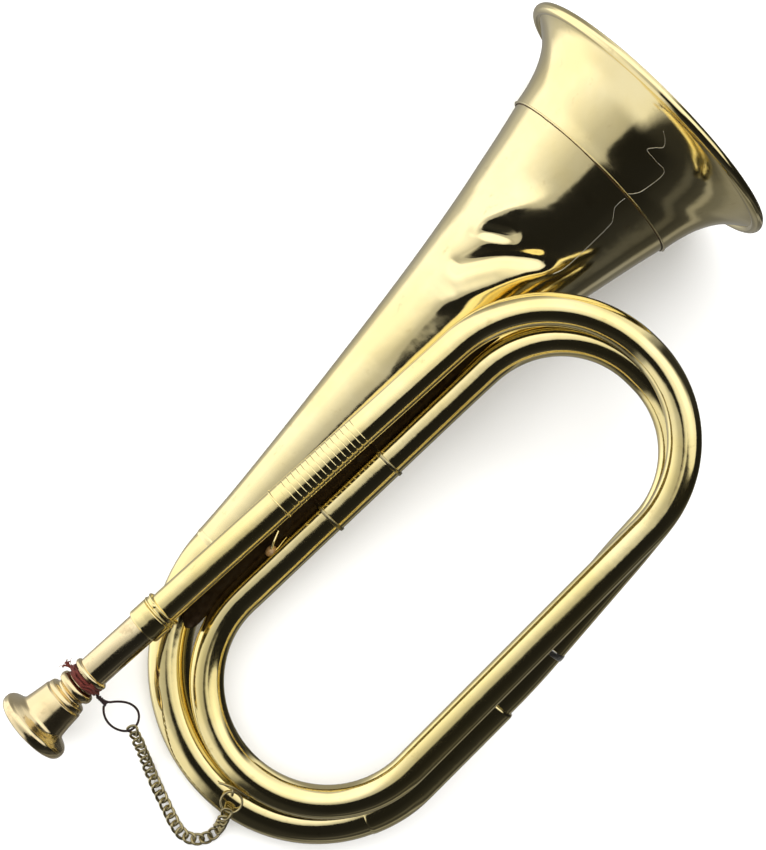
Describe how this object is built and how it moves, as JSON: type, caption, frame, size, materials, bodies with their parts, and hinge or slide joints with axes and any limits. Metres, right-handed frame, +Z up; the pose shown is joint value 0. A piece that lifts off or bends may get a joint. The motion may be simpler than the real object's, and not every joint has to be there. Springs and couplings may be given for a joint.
{
  "type": "bugle",
  "caption": "Wound natural brass bugle lying on its side, with a flared bell and a cup mouthpiece that pulls out of its socket, held by a twine loop and a fine chain.",
  "frame": {"origin": "centre of the base of the bounding box of the bugle as it lies on a flat surface", "axes": "+X along the length toward the bell's mouth, +Z up from the surface it lies on, +Y from the coil's outer runs toward the bell's side"},
  "size_m": [0.3018, 0.1657, 0.1047],
  "materials": {
    "bell_brass": "hand-polished, lightly tarnished and scratched",
    "tube_brass": "hand-polished, lightly tarnished",
    "mouthpiece_brass": "satin, worn, pinkish tan",
    "chain_brass": "dull, tarnished",
    "silver_ring": "bright nickel silver",
    "solder": "dull, brown-grey",
    "dark_twine": "waxed twisted thread",
    "red_twine": "twisted thread, frayed"
  },
  "bodies": {
    "root": {"leadpipe": "tube_brass", "leadpipe_ring": "tube_brass", "first_right_bow": "tube_brass", "first_lower_run": "tube_brass", "first_left_bow": "tube_brass", "middle_run_left": "tube_brass", "middle_run_right": "tube_brass", "middle_sleeve": "tube_brass", "middle_sleeve_rings": "tube_brass", "second_right_bow": "tube_brass", "outer_run": "tube_brass", "outer_run_ring": "silver_ring", "outer_sleeve": "tube_brass", "bell_bow": "tube_brass", "bell_tail_ring": "bell_brass", "bell_body": "bell_brass", "bell_flare": "bell_brass", "bell_rim": "bell_brass", "receiver_tube": "mouthpiece_brass", "receiver_lip": "mouthpiece_brass", "receiver_collar": "mouthpiece_brass", "receiver_band": "mouthpiece_brass", "band_rivet": "mouthpiece_brass", "leadpipe_stay": "tube_brass", "bell_solder": "solder", "lower_solder": "solder", "solder_blob": "solder", "brace_wire": "tube_brass", "chain_eye": "chain_brass", "eye_wire": "chain_brass"},
    "twine_tie": {"twine_wrap": "red_twine", "twine_knot": "red_twine", "twine_loop": "dark_twine"},
    "mouthpiece": {"mouthpiece": "mouthpiece_brass"},
    "chain_ring": {"chain_ring": "chain_brass"},
    "chain_drop": {"chain_drop": "chain_brass"},
    "chain_bend": {"chain_bend": "chain_brass"},
    "chain_run": {"chain_run": "chain_brass"},
    "chain_lift": {"chain_lift": "chain_brass"}
  },
  "joints": [
    {"name": "mouthpiece_slide", "type": "slide", "parent": "root", "child": "twine_tie", "axis": [-0.969, 0.0337, -0.2449], "range_m": [0, 0.018]},
    {"name": "mouthpiece_turn", "type": "hinge", "parent": "twine_tie", "child": "mouthpiece", "pos_m": [-0.12159, 0.02734, 0.02403], "axis": [0.969, -0.0337, 0.2449], "continuous": true},
    {"name": "ring_swing", "type": "hinge", "parent": "root", "child": "chain_ring", "pos_m": [-0.115, -0.0342, 0.0173], "axis": [0, 0, -1], "range_deg": [0, 9]},
    {"name": "drop_swing", "type": "hinge", "parent": "chain_ring", "child": "chain_drop", "pos_m": [-0.12105, -0.0379, 0.0164], "axis": [0, 0, 1], "range_deg": [0, 18.2]},
    {"name": "bend_swing", "type": "hinge", "parent": "chain_drop", "child": "chain_bend", "pos_m": [-0.1305, -0.04163, 0.00145], "axis": [0, 0, 1], "range_deg": [0, 19.6]},
    {"name": "run_swing", "type": "hinge", "parent": "chain_bend", "child": "chain_run", "pos_m": [-0.13589, -0.02999, 0.0015], "axis": [0, 0, -1], "range_deg": [0, 8]},
    {"name": "lift_dip", "type": "hinge", "parent": "chain_run", "child": "chain_lift", "pos_m": [-0.12931, -0.0112, 0.00371], "axis": [-0.94, 0.3413, 0], "range_deg": [0, 15.8]}
  ],
  "couplings": [
    {"joint": "ring_swing", "follows": "mouthpiece_slide", "rad_per_m": 7.757},
    {"joint": "drop_swing", "follows": "mouthpiece_slide", "rad_per_m": 16.701},
    {"joint": "bend_swing", "follows": "mouthpiece_slide", "rad_per_m": 18.071},
    {"joint": "run_swing", "follows": "mouthpiece_slide", "rad_per_m": 6.7415},
    {"joint": "lift_dip", "follows": "mouthpiece_slide", "rad_per_m": 14.386}
  ]
}
